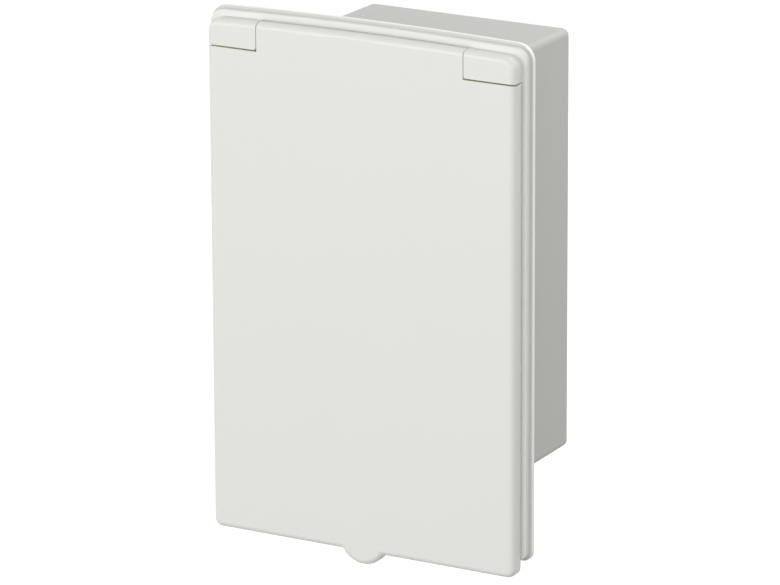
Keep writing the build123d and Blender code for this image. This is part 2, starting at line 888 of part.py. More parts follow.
def make_gland_body():
    """Hexagon collar with a thread through the wall and a neck for the cap."""
    tail = inner_back - locknut_t - gland_tail
    body = along_y(gland_thread_r, tail, gland_hex_y, 0, gland_z)
    body = body + gland_axis(gland_hex_y) * hexagon(gland_hex, gland_hex_t)
    neck_end = gland_neck_y + gland_neck
    body = body + along_y(gland_thread_r, gland_neck_y, neck_end, 0, gland_z)
    body = body - along_y(gland_bore_r, tail, neck_end, 0, gland_z)
    pocket = along_y(gland_seal_r, gland_cap_y, neck_end, 0, gland_z)
    return body - pocket


def make_gland_washer():
    """Sealing washer under the gland's collar."""
    ring = along_y(washer_r, box_depth, gland_hex_y, 0, gland_z)
    return ring - along_y(gland_thread_r, box_depth, gland_hex_y, 0, gland_z)


def make_gland_locknut():
    """Hexagon nut on the gland's thread inside the box."""
    start = inner_back - locknut_t
    body = gland_axis(start) * hexagon(locknut_hex, locknut_t)
    return body - along_y(gland_thread_r, start, inner_back, 0, gland_z)


def make_gland_seal():
    """Rubber sleeve that the cap presses on the cable."""
    start = gland_cap_y
    end = gland_cap_y + gland_cap_length - gland_cap_end
    ring = along_y(gland_seal_r, start, end, 0, gland_z)
    ring = chamfer(ring.edges().group_by(Axis.Y)[-1], gland_chamfer)
    return ring - along_y(cable_r, start, end, 0, gland_z)


def make_gland_cap():
    """Hexagon cap with a domed end."""
    end = gland_cap_length
    flats = end * gland_cap_flats
    body = hexagon(gland_hex, flats)
    dome = rod(gland_hex / 2 - gland_dome_inset, flats / 2, end)
    body = body + fillet(dome.edges().group_by(Axis.Z)[-1], gland_dome_r)
    body = body - rod(gland_thread_r, 0, gland_neck_y + gland_neck - gland_cap_y)
    body = body - rod(gland_seal_r, 0, end - gland_cap_end)
    return gland_axis(gland_cap_y) * (body - rod(cable_r + gland_step, 0, end))


def make_all():
    """Every piece under its node name."""
    pin = make_hinge_pin()
    return {
        "rear_box": make_rear_box(),
        "front_frame": make_front_frame(),
        "frame_seal": frame_seal_form(),
        "frame_screws": make_frame_screws(),
        "catch_plate": catch_form(),
        "lid": make_lid(),
        "lid_seal": make_lid_seal(),
        "lid_magnet": magnet_form(),
        "hinge_pin_right": pin,
        "hinge_pin_left": mirror(pin, about=Plane.YZ),
        "inlet_carrier": make_inlet_carrier(),
        "carrier_screws": make_carrier_screws(),
        "inlet_gasket": make_inlet_gasket(),
        "inlet_body": make_inlet_body(),
        "inlet_screws": make_inlet_screws(),
        "contact_carrier": make_contact_carrier(),
        "pin_live": make_pin("live"),
        "pin_neutral": make_pin("neutral"),
        "pin_earth": make_pin("earth"),
        "terminal_screws": make_terminal_screws(),
        "coupler_latch": make_coupler_latch(),
        "latch_pin": make_latch_pin(),
        "gland_body": make_gland_body(),
        "gland_washer": make_gland_washer(),
        "gland_locknut": make_gland_locknut(),
        "gland_seal": make_gland_seal(),
        "gland_cap": make_gland_cap(),
    }


os.makedirs("parts", exist_ok=True)
for node, shape in make_all().items():
    export_step(shape, f"parts/{node}.step")
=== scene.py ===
"""Finishes, small fittings and studio for a flush wall box with a power inlet.

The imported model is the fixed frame. Lengths are metres: X runs to the right,
Y into the wall and Z up, and the origin lies in the wall face.
"""
import json
import logging
import math
from dataclasses import dataclass
from enum import Enum
from typing import Any, ClassVar, Mapping, Optional, Union

import bpy
import numpy as np
from mathutils import Matrix, Vector


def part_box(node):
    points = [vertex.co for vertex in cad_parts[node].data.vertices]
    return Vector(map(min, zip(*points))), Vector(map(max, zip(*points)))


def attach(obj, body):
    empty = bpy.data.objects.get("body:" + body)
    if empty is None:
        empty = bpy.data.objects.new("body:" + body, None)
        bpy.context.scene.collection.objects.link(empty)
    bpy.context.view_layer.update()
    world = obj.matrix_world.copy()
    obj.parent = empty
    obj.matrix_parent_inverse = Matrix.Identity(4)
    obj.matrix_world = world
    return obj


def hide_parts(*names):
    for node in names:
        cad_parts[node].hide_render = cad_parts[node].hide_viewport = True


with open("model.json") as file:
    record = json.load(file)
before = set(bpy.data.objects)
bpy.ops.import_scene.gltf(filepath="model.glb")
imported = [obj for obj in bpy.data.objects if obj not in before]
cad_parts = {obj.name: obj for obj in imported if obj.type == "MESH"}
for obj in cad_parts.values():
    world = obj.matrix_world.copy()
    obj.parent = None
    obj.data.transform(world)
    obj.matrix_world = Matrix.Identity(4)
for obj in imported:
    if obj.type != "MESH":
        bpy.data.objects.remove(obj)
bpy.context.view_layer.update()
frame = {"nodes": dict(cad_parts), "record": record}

LOG = logging.getLogger("inlet_box")
MM = 0.001
QUARTER_TURN = math.pi / 2.0
FULL_TURN = 2.0 * math.pi

Array = np.ndarray
Point = tuple[float, float, float]
Colour = tuple[float, float, float]
Span = tuple[float, float]
Sockets = Mapping[Union[int, str], Any]

WHITE: Colour = (1.0, 1.0, 1.0)

# A span that reaches past the box on every side.
EVERYWHERE: Span = (-1.0, 1.0)

# Angle in degrees above which an edge stays crisp, where a piece gives none.
CREASE = 35.0

# Curve of display values: a straight toe in the dark, then a power.
DISPLAY_TOP = 255.0
TOE_END = 0.04045
TOE_SLOPE = 12.92
CURVE_SHIFT = 0.055
CURVE_POWER = 2.4

# Places of a Mix node's colour sockets, whose names repeat for each data type.
MIX_SHARE, MIX_FIRST, MIX_SECOND = 0, 6, 7
MIX_RESULT = 2


def linear(red: float, green: float, blue: float) -> Colour:
    """Turns display values into linear light.

    Args:
        red: Red from 0 to 255.
        green: Green from 0 to 255.
        blue: Blue from 0 to 255.

    Returns:
        The three values as linear light from 0 to 1.
    """
    share = np.array([red, green, blue]) / DISPLAY_TOP
    curve = ((share + CURVE_SHIFT) / (1.0 + CURVE_SHIFT)) ** CURVE_POWER
    light = np.where(share <= TOE_END, share / TOE_SLOPE, curve)
    return float(light[0]), float(light[1]), float(light[2])


def dimmed(colour: Colour, loss: float) -> Colour:
    """A colour less a share of its light."""
    red, green, blue = (part * (1.0 - loss) for part in colour)
    return red, green, blue


@dataclass(frozen=True)
class Wire:
    """An output socket whose arithmetic adds Math nodes to its graph."""

    graph: "Graph"
    socket: bpy.types.NodeSocket

    def math(self, operation: str, first: "Value", second: "Value") -> "Wire":
        """Adds one Math node.

        Args:
            operation: Blender's name of the operation.
            first: First operand.
            second: Second operand.

        Returns:
            The result as a wire.
        """
        return self.graph.node("ShaderNodeMath", {"operation": operation}, {0: first, 1: second})

    def __add__(self, other: "Value") -> "Wire":
        """Sum with a number or another wire."""
        return self.math("ADD", self, other)

    def __radd__(self, other: "Value") -> "Wire":
        """Sum with a number on the left."""
        return self.math("ADD", other, self)

    def __sub__(self, other: "Value") -> "Wire":
        """Difference with a number or another wire."""
        return self.math("SUBTRACT", self, other)

    def __rsub__(self, other: "Value") -> "Wire":
        """Difference with a number on the left."""
        return self.math("SUBTRACT", other, self)

    def __mul__(self, other: "Value") -> "Wire":
        """Product with a number or another wire."""
        return self.math("MULTIPLY", self, other)

    def __rmul__(self, other: "Value") -> "Wire":
        """Product with a number on the left."""
        return self.math("MULTIPLY", other, self)

    def sine(self) -> "Wire":
        """Sine of the value, in radians."""
        return self.math("SINE", self, 0.0)

    def size(self) -> "Wire":
        """The value without its sign."""
        return self.math("ABSOLUTE", self, 0.0)

    def centred(self) -> "Wire":
        """A value from 0 to 1 as a swing about 0."""
        return self - 0.5

    def at_most(self, limit: "Value") -> "Wire":
        """The smaller of the value and a limit."""
        return self.math("MINIMUM", self, limit)

    def at_least(self, limit: "Value") -> "Wire":
        """The larger of the value and a limit."""
        return self.math("MAXIMUM", self, limit)

    def past(self, start: float, soft: float) -> "Wire":
        """0 below a start and 1 above it, with a short ramp between.

        Args:
            start: Value at the foot of the ramp.
            soft: Length of the ramp.

        Returns:
            The share between 0 and 1.
        """
        return ((self - start) * (1.0 / soft)).at_least(0.0).at_most(1.0)

    def within(self, span: Span, soft: float) -> "Wire":
        """1 between two limits and 0 outside, with short ramps inside them.

        Args:
            span: Lower and upper limit.
            soft: Length of both ramps.

        Returns:
            The share between 0 and 1.
        """
        low, high = span
        return self.past(low, soft) * (1.0 - self.past(high - soft, soft))


Value = Union[float, Wire]
Paint = Union[Colour, Wire]


@dataclass(frozen=True)
class Graph:
    """A shader node tree with one way of adding nodes."""

    tree: bpy.types.NodeTree

    @classmethod
    def of(cls, owner: Union[bpy.types.Material, bpy.types.World]) -> "Graph":
        """Empties the nodes of a material or a world.

        Args:
            owner: The material or world.

        Returns:
            Its graph.
        """
        owner.use_nodes = True
        owner.node_tree.nodes.clear()
        return cls(owner.node_tree)

    def add(
        self,
        kind: str,
        settings: Optional[Mapping[str, Any]] = None,
        inputs: Optional[Sockets] = None,
    ) -> bpy.types.Node:
        """Adds one node, sets its options and then its sockets.

        Args:
            kind: Blender's type name of the node.
            settings: Options of the node, such as a Math node's operation.
            inputs: Numbers, colours or wires for its sockets, by name or place.

        Returns:
            The new node.
        """
        made = self.tree.nodes.new(kind)
        for name, value in (settings or {}).items():
            setattr(made, name, value)
        for key, value in (inputs or {}).items():
            if isinstance(value, Wire):
                self.tree.links.new(value.socket, made.inputs[key])
            else:
                made.inputs[key].default_value = value
        return made

    def node(
        self,
        kind: str,
        settings: Optional[Mapping[str, Any]] = None,
        inputs: Optional[Sockets] = None,
        output: Union[int, str] = 0,
    ) -> Wire:
        """Adds one node and picks one of its outputs.

        Args:
            kind: Blender's type name of the node.
            settings: Options of the node.
            inputs: Numbers, colours or wires for its sockets.
            output: Name or place of the output.

        Returns:
            The output as a wire.
        """
        return Wire(self, self.add(kind, settings, inputs).outputs[output])

    def place(self) -> Wire:
        """Object coordinates, which are metres in the shared frame."""
        return self.node("ShaderNodeTexCoord", output="Object")

    def noise(self, place: Wire, size: float, detail: float = 2.0) -> Wire:
        """Soft noise between 0 and 1.

        Args:
            place: Coordinates to read.
            size: Width of one blotch in metres.
            detail: Number of finer layers.

        Returns:
            The noise value.
        """
        sockets = {"Vector": place, "Scale": 1.0 / size, "Detail": detail}
        return self.node("ShaderNodeTexNoise", inputs=sockets)

    def shade(self, share: Wire, first: Paint, second: Paint) -> Wire:
        """Blend of two colours.

        Args:
            share: Share of the second colour.
            first: Colour at 0, as numbers or as a wire.
            second: Colour at 1, as numbers or as a wire.

        Returns:
            The blended colour.
        """
        sockets = {
            MIX_SHARE: share,
            MIX_FIRST: self.paint(first),
            MIX_SECOND: self.paint(second),
        }
        return self.node("ShaderNodeMix", {"data_type": "RGBA"}, sockets, MIX_RESULT)

    @staticmethod
    def paint(colour: Paint) -> Union[Wire, tuple[float, ...]]:
        """A colour as a socket takes it, with its opacity."""
        return colour if isinstance(colour, Wire) else (*colour, 1.0)

    def parts(self, place: Wire) -> tuple[Wire, Wire, Wire]:
        """Splits a position.

        Args:
            place: The position.

        Returns:
            Its X, Y and Z.
        """
        split = [
            self.node("ShaderNodeSeparateXYZ", inputs={0: place}, output=axis) for axis in "XYZ"
        ]
        return split[0], split[1], split[2]

    def bump(self, height: Wire, depth: float) -> Wire:
        """Surface normal of a fine relief.

        Args:
            height: Relief between 0 and 1.
            depth: Height of the relief in metres.

        Returns:
            The bent normal.
        """
        return self.node("ShaderNodeBump", inputs={"Height": height, "Distance": depth})

    def surface(self, sockets: Sockets) -> None:
        """Ends a material in one Principled surface.

        Args:
            sockets: Values and wires of the surface's sockets.
        """
        shader = self.node("ShaderNodeBsdfPrincipled", inputs=sockets)
        self.add("ShaderNodeOutputMaterial", inputs={"Surface": shader})


@dataclass(frozen=True)
class Zone:
    """Box-shaped region, the same on both sides, with a colour painted over it: painted warm
    light in the hinge gaps, a paler flange or a painted highlight on the flange's edge.

    Across counts from the middle plane, depth runs along Y and height along Z.
    The colour sets in over a short ramp inside each limit.
    """

    colour: Colour
    depth: Span
    across: Span = EVERYWHERE
    height: Span = EVERYWHERE
    soft: float = 0.05 * MM

    def share(self, graph: Graph, place: Wire) -> Wire:
        """How far a point lies inside the region.

        Args:
            graph: Graph of the material.
            place: Position of the point.

        Returns:
            The share of the region's colour.
        """
        x, y, z = graph.parts(place)
        spans = ((x.size(), self.across), (y, self.depth), (z, self.height))
        inside = [value.within(span, self.soft) for value, span in spans]
        return inside[0] * inside[1] * inside[2]


@dataclass(frozen=True)
class Plastic:
    """Moulded plastic with a fine grain and a faint cloudiness."""

    name: str
    colour: Colour
    roughness: float
    grain_size: float
    grain_depth: float
    gloss_spread: float = 0.08
    cloud: float = 0.03
    cloud_size: float = 35.0 * MM
    cloud_detail: float = 3.0
    zones: tuple[Zone, ...] = ()

    def material(self) -> bpy.types.Material:
        """Builds the node material of this finish.

        Returns:
            The new material.
        """
        made = bpy.data.materials.new(self.name)
        graph = Graph.of(made)
        place = graph.place()
        grain = graph.noise(place, self.grain_size)
        cloud = graph.noise(place, self.cloud_size, self.cloud_detail)
        colour = graph.shade(cloud, self.colour, dimmed(self.colour, self.cloud))
        # Zones paint colour over the base: painted warm light in the hinge gaps, a paler flange
        # and a painted highlight on its edge.
        for zone in self.zones:
            colour = graph.shade(zone.share(graph, place), colour, zone.colour)
        graph.surface(
            {
                "Base Color": colour,
                "Roughness": self.roughness + grain.centred() * self.gloss_spread,
                "Normal": graph.bump(grain, self.grain_depth),
            }
        )
        return made


@dataclass(frozen=True)
class Rubber:
    """Dark rubber with a dull bloom and a fine rough skin."""

    name: str
    colour: Colour
    bloom: Colour
    roughness: float = 0.72
    gloss_spread: float = 0.2
    skin_size: float = 0.4 * MM
    skin_depth: float = 0.03 * MM
    skin_detail: float = 3.0
    bloom_size: float = 9.0 * MM
    bloom_detail: float = 4.0

    def material(self) -> bpy.types.Material:
        """Builds the node material of this finish.

        Returns:
            The new material.
        """
        made = bpy.data.materials.new(self.name)
        graph = Graph.of(made)
        place = graph.place()
        skin = graph.noise(place, self.skin_size, self.skin_detail)
        bloom = graph.noise(place, self.bloom_size, self.bloom_detail)
        graph.surface(
            {
                "Base Color": graph.shade(bloom, self.colour, self.bloom),
                "Roughness": self.roughness + skin.centred() * self.gloss_spread,
                "Normal": graph.bump(skin, self.skin_depth),
            }
        )
        return made


class Marks(Enum):
    """Tool marks on metal; the value is the share of the full waver they have."""

    TURNED = 0.15
    ROLLED = 1.0


@dataclass(frozen=True)
class Metal:
    """Plated metal with fine tool marks that follow each other in one direction."""

    name: str
    colour: Colour
    stain: Colour
    roughness: float
    marks: Marks
    across: Point
    spacing: float = 0.25 * MM
    mark_depth: float = 0.004 * MM
    mark_gloss: float = 0.05
    waver: float = 3.0
    waver_size: float = 1.5 * MM
    stain_size: float = 4.0 * MM
    stain_detail: float = 4.0
    stain_gloss: float = 0.12

    def material(self) -> bpy.types.Material:
        """Builds the node material of this finish.

        A mark's height is the sine of the distance along the direction,
        with one full turn for each spacing and a noise added to its angle.

        Returns:
            The new material.
        """
        made = bpy.data.materials.new(self.name)
        graph = Graph.of(made)
        place = graph.place()
        stain = graph.noise(place, self.stain_size, self.stain_detail)
        run = graph.node(
            "ShaderNodeVectorMath",
            {"operation": "DOT_PRODUCT"},
            {0: place, 1: self.across},
            output="Value",
        )
        waver = graph.noise(place, self.waver_size) * (self.waver * self.marks.value)
        mark = (run * (FULL_TURN / self.spacing) + waver).sine() * 0.5 + 0.5
        gloss = stain.centred() * self.stain_gloss + mark * self.mark_gloss
        graph.surface(
            {
                "Base Color": graph.shade(stain, self.colour, self.stain),
                "Metallic": 1.0,
                "Roughness": self.roughness + gloss,
                "Normal": graph.bump(mark, self.mark_depth),
            }
        )
        return made


Coat = Union[Plastic, Rubber, Metal]


def quad_faces(rows: int, columns: int) -> Array:
    """Corner numbers of a grid that closes on itself both ways.

    Args:
        rows: Number of grid rows.
        columns: Number of grid columns.

    Returns:
        One row of four corner numbers for each face.
    """
    row, column = np.meshgrid(np.arange(rows), np.arange(columns), indexing="ij")
    below = (row + 1) % rows
    beside = (column + 1) % columns
    corners = [
        row * columns + column,
        row * columns + beside,
        below * columns + beside,
        below * columns + column,
    ]
    return np.stack([corner.ravel() for corner in corners], axis=1)


def signed_volume(points: Array, faces: Array) -> float:
    """Volume inside closed faces, negative where they point inwards.

    Each face is two triangles, and a triangle's pyramid to the origin holds
    a sixth of the triple product of its corners.

    Args:
        points: Corner points, one row each.
        faces: Faces of four corners.

    Returns:
        The sum of all pyramids, in cubic metres.
    """
    a, b, c, d = (points[faces[:, i]] for i in range(4))
    first = np.einsum("ij,ij->i", a, np.cross(b, c))
    second = np.einsum("ij,ij->i", a, np.cross(c, d))
    return float((first + second).sum() / 6.0)


def outward_faces(grid: Array) -> Array:
    """Faces of a grid that wraps both ways, all turned outwards.

    Args:
        grid: Points of the surface, rows by columns by three.

    Returns:
        One row of four corner numbers for each face.
    """
    faces = quad_faces(*grid.shape[:2])
    inside_out = signed_volume(grid.reshape(-1, 3), faces) < 0
    return faces[:, ::-1] if inside_out else faces


def mesh_piece(
    name: str, points: Array, faces: Array, crease: float = CREASE
) -> bpy.types.Object:
    """Puts points and faces into a new, smoothly shaded object.

    Args:
        name: Name of the new piece.
        points: Corner points, one row each.
        faces: Corner numbers, one row for each face.
        crease: Angle in degrees above which an edge stays crisp.

    Returns:
        The new object at the origin.
    """
    mesh = bpy.data.meshes.new(name)
    mesh.from_pydata(points.tolist(), [], faces.tolist())
    mesh.validate()
    mesh.shade_smooth()
    mesh.set_sharp_from_angle(angle=math.radians(crease))
    made = bpy.data.objects.new(name, mesh)
    bpy.context.scene.collection.objects.link(made)
    return made


def ring_solid(name: str, grid: Array, crease: float) -> bpy.types.Object:
    """Closed ring-shaped solid from a grid that wraps both ways.

    Args:
        name: Name of the new piece.
        grid: Points of the surface, rows by columns by three.
        crease: Angle in degrees above which an edge stays crisp.

    Returns:
        The new object at the origin.
    """
    return mesh_piece(name, grid.reshape(-1, 3), outward_faces(grid), crease)


def rounded_loop(half: float, tall: float, radius: float, steps: int) -> tuple[Array, Array]:
    """Rounded rectangle as points and outward directions.

    Each corner is a quarter circle about its own centre, and the straight
    sides are what joins one quarter circle to the next.

    Args:
        half: Half of the width.
        tall: Half of the height.
        radius: Radius of the corners.
        steps: Points on each corner.

    Returns:
        The points and the outward unit vectors, each as rows of two numbers.
    """
    turn = np.linspace(0.0, QUARTER_TURN, steps)
    quarter = np.arange(4)[:, None] * QUARTER_TURN
    angle = quarter + turn[None, :]
    outward = np.stack([np.cos(angle), np.sin(angle)], axis=-1)
    signs = np.array([[1, 1], [-1, 1], [-1, -1], [1, -1]])
    centre = signs * np.array([half - radius, tall - radius])
    points = centre[:, None, :] + radius * outward
    return points.reshape(-1, 2), outward.reshape(-1, 2)


def round_turn(steps: int) -> Array:
    """Angles of a full turn in even steps, without its end."""
    return np.linspace(0.0, FULL_TURN, steps, endpoint=False)


def dress(node: str, material: bpy.types.Material) -> None:
    """Gives a frame node its finish.

    Args:
        node: Name of the node.
        material: Material for every slot of the node.
    """
    for slot in frame["nodes"][node].material_slots:
        slot.material = material
    LOG.info("dressed %s in %s", node, material.name)


def fit_piece(
    piece: bpy.types.Object, body: str, slot: str, material: bpy.types.Material, *stands_for: str
) -> None:
    """Finishes a new piece and fixes it to its body.

    Args:
        piece: The new object.
        body: Body that carries it.
        slot: Material slot of the record; not used.
        material: Finish of the piece.
        stands_for: Frame nodes that it replaces.
    """
    piece.data.materials.append(material)
    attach(piece, body)
    if stands_for:
        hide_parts(*stands_for)
    LOG.info("made %s on %s with %d faces", piece.name, body, len(piece.data.polygons))


def inlet_axis() -> Point:
    """Finds the direction of the inlet's axis.

    Returns:
        The axis of the inlet's mount in the record.
    """
    mounts = frame["record"]["mounts"]
    axis = next(mount["axis"] for mount in mounts if mount["name"] == "cee_inlet")
    return axis[0], axis[1], axis[2]


class Finish(Enum):
    """Finishes of the box."""

    SHELL = "shell"
    TUB = "tub"
    BLUE = "blue"
    BLACK = "black"
    GREY = "grey"
    RUBBER = "rubber"
    STEEL = "steel"
    NICKEL = "nickel"
    FERRITE = "ferrite"


Materials = Mapping[Finish, bpy.types.Material]


@dataclass(frozen=True)
class Palette:
    """Every finish of the box, and the places where colour is painted on a moulding: painted
    warm light in the hinge gaps, a paler flange and a painted highlight along its outer edge.

    The gap's depth counts from the lid's front, and its drop from the lid's
    shoulder, which lies below the top by the lid's arch. The margin and the
    inset count from the flange's front.
    """

    # Painted warm light on the walls facing each other across the gaps under the hinge blocks.
    gap_light: Colour = linear(250, 248, 208)
    gap_across: Span = (39.1 * MM, 56.5 * MM)
    gap_depth: Span = (0.12 * MM, 2.2 * MM)
    gap_drop: Span = (8.75 * MM, 9.7 * MM)
    lid_arch: float = 0.95 * MM
    flange_colour: Colour = linear(206, 206, 202)
    flange_margin: float = 0.5 * MM
    # Painted highlight along the flange's outer edge.
    rim_highlight_colour: Colour = linear(252, 252, 249)
    rim_inset: float = 0.05 * MM
    wall_face: float = 0.0

    def hinge_gap_light(self) -> Zone:
        """Painted warm light on the facing walls of the gap under the hinge blocks, placed from
        the lid's own box.

        Returns:
            The region of the painted light on both sides.
        """
        low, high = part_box("lid")
        front = low[1]
        shoulder = high[2] - self.lid_arch
        # Painted warm light: a pale warm colour on the gap's facing walls, where shade would
        # fall.
        return Zone(
            colour=self.gap_light,
            depth=(front + self.gap_depth[0], front + self.gap_depth[1]),
            across=self.gap_across,
            height=(shoulder - self.gap_drop[1], shoulder - self.gap_drop[0]),
        )

    def flange_tone_and_highlight(self) -> tuple[Zone, ...]:
        """Paler flange in front of the tub, with a painted highlight along its outer edge.

        Returns:
            The regions of the flange and of its painted highlight, the later over the earlier.
        """
        low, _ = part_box("rear_box")
        front = low[1]
        flange = Zone(self.flange_colour, depth=(front - self.flange_margin, self.wall_face))
        # Painted highlight: a near-white band on the flange's outer edge, over the flange's
        # tone.
        rim = Zone(self.rim_highlight_colour, depth=(front + self.rim_inset, self.wall_face))
        return flange, rim

    def plastics(self) -> dict[Finish, Coat]:
        """Lists the moulded finishes.

        Returns:
            Each finish with its colour and grain.
        """
        return {
            Finish.SHELL: Plastic(
                name="satin_white",
                colour=linear(229, 229, 224),
                roughness=0.36,
                grain_size=0.35 * MM,
                grain_depth=0.003 * MM,
                cloud=0.012,
                # Painted warm light in the gaps under the hinge blocks.
                zones=(self.hinge_gap_light(),),
            ),
            Finish.TUB: Plastic(
                name="matt_white",
                colour=linear(196, 196, 192),
                roughness=0.55,
                grain_size=0.5 * MM,
                grain_depth=0.01 * MM,
                cloud=0.02,
                # A paler flange, and a painted highlight along its outer edge.
                zones=self.flange_tone_and_highlight(),
            ),
            Finish.BLUE: Plastic(
                name="satin_blue",
                colour=linear(20, 82, 158),
                roughness=0.4,
                grain_size=0.4 * MM,
                grain_depth=0.01 * MM,
            ),
            Finish.BLACK: Plastic(
                name="satin_black",
                colour=linear(34, 34, 36),
                roughness=0.45,
                grain_size=0.4 * MM,
                grain_depth=0.01 * MM,
            ),
            Finish.GREY: Plastic(
                name="satin_grey",
                colour=linear(150, 153, 155),
                roughness=0.5,
                grain_size=0.45 * MM,
                grain_depth=0.012 * MM,
            ),
            Finish.FERRITE: Plastic(
                name="ferrite",
                colour=linear(62, 62, 65),
                roughness=0.6,
                grain_size=0.3 * MM,
                grain_depth=0.02 * MM,
                cloud=0.12,
                cloud_size=1.5 * MM,
            ),
        }

    @staticmethod
    def other_coats() -> dict[Finish, Coat]:
        """Lists the rubber and the metals.

        Returns:
            Each finish with its colours and marks.
        """
        return {
            Finish.RUBBER: Rubber(
                name="black_rubber",
                colour=linear(30, 30, 31),
                bloom=linear(44, 44, 44),
            ),
            Finish.STEEL: Metal(
                name="zinc_steel",
                colour=linear(172, 175, 180),
                stain=linear(152, 154, 158),
                roughness=0.3,
                marks=Marks.ROLLED,
                across=(1.0, 0.0, 0.0),
            ),
            Finish.NICKEL: Metal(
                name="nickel_brass",
                colour=linear(208, 203, 190),
                stain=linear(190, 183, 168),
                roughness=0.2,
                marks=Marks.TURNED,
                across=inlet_axis(),
            ),
        }

    def materials(self) -> Materials:
        """The node material of every finish."""
        coats = {**self.plastics(), **self.other_coats()}
        return {finish: coat.material() for finish, coat in coats.items()}


@dataclass
class SubAssembly:
    """A group of nodes that are dressed together."""

    materials: Materials

    WEAR: ClassVar[Mapping[str, Finish]] = {}

    def dress_nodes(self) -> None:
        """Gives every node of the group its finish."""
        for node, finish in self.WEAR.items():
            dress(node, self.materials[finish])

    def build(self) -> None:
        """Dresses the nodes; groups with pieces of their own add them."""
        self.dress_nodes()


@dataclass
class Housing(SubAssembly):
    """Tub, frame and the small pieces between them."""

    WEAR: ClassVar[Mapping[str, Finish]] = {
        "rear_box": Finish.TUB,
        "front_frame": Finish.SHELL,
        "frame_seal": Finish.RUBBER,
        "frame_screws": Finish.STEEL,
        "catch_plate": Finish.STEEL,
        "hinge_pin_left": Finish.STEEL,
        "hinge_pin_right": Finish.STEEL,
    }


@dataclass
class Lid(SubAssembly):
    """Lid with its magnet, its seal and the marks of its mould.

    Steps are numbers of points, and a crease is the angle in degrees above
    which an edge stays crisp.
    """

    WEAR: ClassVar[Mapping[str, Finish]] = {
        "lid": Finish.SHELL,
        "lid_seal": Finish.RUBBER,
        "lid_magnet": Finish.FERRITE,
    }

    seal_width: float = 3.4 * MM
    seal_corner: float = 6.6 * MM
    seal_crease: float = 50.0
    bead_dip: float = 0.4
    bead_steps: int = 41
    foot_steps: int = 5
    corner_steps: int = 17
    mark_radius: float = 2.6 * MM
    mark_ridge: float = 0.5 * MM
    mark_height: float = 0.25 * MM
    mark_crease: float = 60.0
    mark_steps: int = 40
    ridge_steps: int = 10
    mark_columns: tuple[float, ...] = (-31.0 * MM, 0.0, 31.0 * MM)
    mark_rows: tuple[float, ...] = (-54.0 * MM, -18.0 * MM, 18.0 * MM, 54.0 * MM)

    def seal_profile(self, height: float) -> tuple[Array, Array]:
        """Cross-section of the seal: a flat foot under two rounded beads.

        The upper side is the height less a share of half of one plus the
        cosine of two full turns over the width, which leaves a bead on each
        quarter line and a dip in the middle and at both edges.

        Args:
            height: Height of the beads above the foot.

        Returns:
            Places across the ring and heights above the foot.
        """
        across = np.linspace(-0.5, 0.5, self.bead_steps)
        dip = self.bead_dip * (0.5 + 0.5 * np.cos(2.0 * FULL_TURN * across))
        foot = np.linspace(0.5, -0.5, self.foot_steps)
        places = np.concatenate([across, foot]) * self.seal_width
        levels = np.concatenate([height * (1.0 - dip), np.zeros_like(foot)])
        return places, levels

    def build_seal(self) -> None:
        """Seal ring: its cross-section carried round a rounded rectangle.

        Each point lies beside the path by its place across the ring, along
        the path's outward direction, and above the foot by its level.
        """
        low, high = (np.array(corner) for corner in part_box("lid_seal"))
        half, _, tall = (high - low) / 2.0
        middle = (high + low) / 2.0
        inset = self.seal_width / 2.0
        path, outward = rounded_loop(
            half - inset, tall - inset, self.seal_corner - inset, self.corner_steps
        )
        places, levels = self.seal_profile(high[1] - low[1])
        flat = path[:, None, :] + outward[:, None, :] * places[None, :, None]
        depth = np.broadcast_to(low[1] + levels, flat.shape[:2])
        grid = np.stack([flat[..., 0], depth, flat[..., 1] + middle[2]], axis=-1)
        piece = ring_solid("seal_ring", grid, self.seal_crease)
        fit_piece(piece, "lid", "rubber", self.materials[Finish.RUBBER], "lid_seal")

    def mark_ring(self) -> Array:
        """One ejector ring about the origin: a flat oval carried round a circle.

        A point's distance from the axis is the ring's radius plus the ridge
        times the cosine of the roll, and its rise is the height times the sine.

        Returns:
            Points of the surface, rows by columns by three.
        """
        turn = round_turn(self.mark_steps)[:, None]
        roll = round_turn(self.ridge_steps)[None, :]
        reach = self.mark_radius + self.mark_ridge * np.cos(roll)
        rise = np.broadcast_to(self.mark_height * np.sin(roll), (turn.size, roll.size))
        return np.stack([reach * np.cos(turn), rise, reach * np.sin(turn)], axis=-1)

    def build_marks(self) -> None:
        """Ejector rings: one ring on each place of a grid inside the lid.

        Each ring is half sunk in the lid's inner face, on which the seal's
        foot lies too.
        """
        low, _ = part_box("lid_seal")
        ring = self.mark_ring()
        x, z = np.meshgrid(self.mark_columns, self.mark_rows)
        centres = np.stack([x, np.full_like(x, low[1]), z], axis=-1).reshape(-1, 1, 3)
        points = centres + ring.reshape(1, -1, 3)
        steps = np.arange(len(centres))[:, None, None] * points.shape[1]
        faces = (outward_faces(ring)[None] + steps).reshape(-1, 4)
        piece = mesh_piece("ejector_rings", points.reshape(-1, 3), faces, self.mark_crease)
        fit_piece(piece, "lid", "white", self.materials[Finish.SHELL])

    def build(self) -> None:
        """Dresses the lid and adds its seal and marks."""
        self.dress_nodes()
        self.build_seal()
        self.build_marks()


@dataclass
class Inlet(SubAssembly):
    """Sloping carrier with the round inlet, its contacts and its latch."""

    WEAR: ClassVar[Mapping[str, Finish]] = {
        "inlet_carrier": Finish.GREY,
        "carrier_screws": Finish.STEEL,
        "inlet_gasket": Finish.RUBBER,
        "inlet_body": Finish.BLUE,
        "inlet_screws": Finish.STEEL,
        "contact_carrier": Finish.BLACK,
        "pin_live": Finish.NICKEL,
        "pin_neutral": Finish.NICKEL,
        "pin_earth": Finish.NICKEL,
        "terminal_screws": Finish.STEEL,
        "coupler_latch": Finish.BLUE,
        "latch_pin": Finish.STEEL,
    }


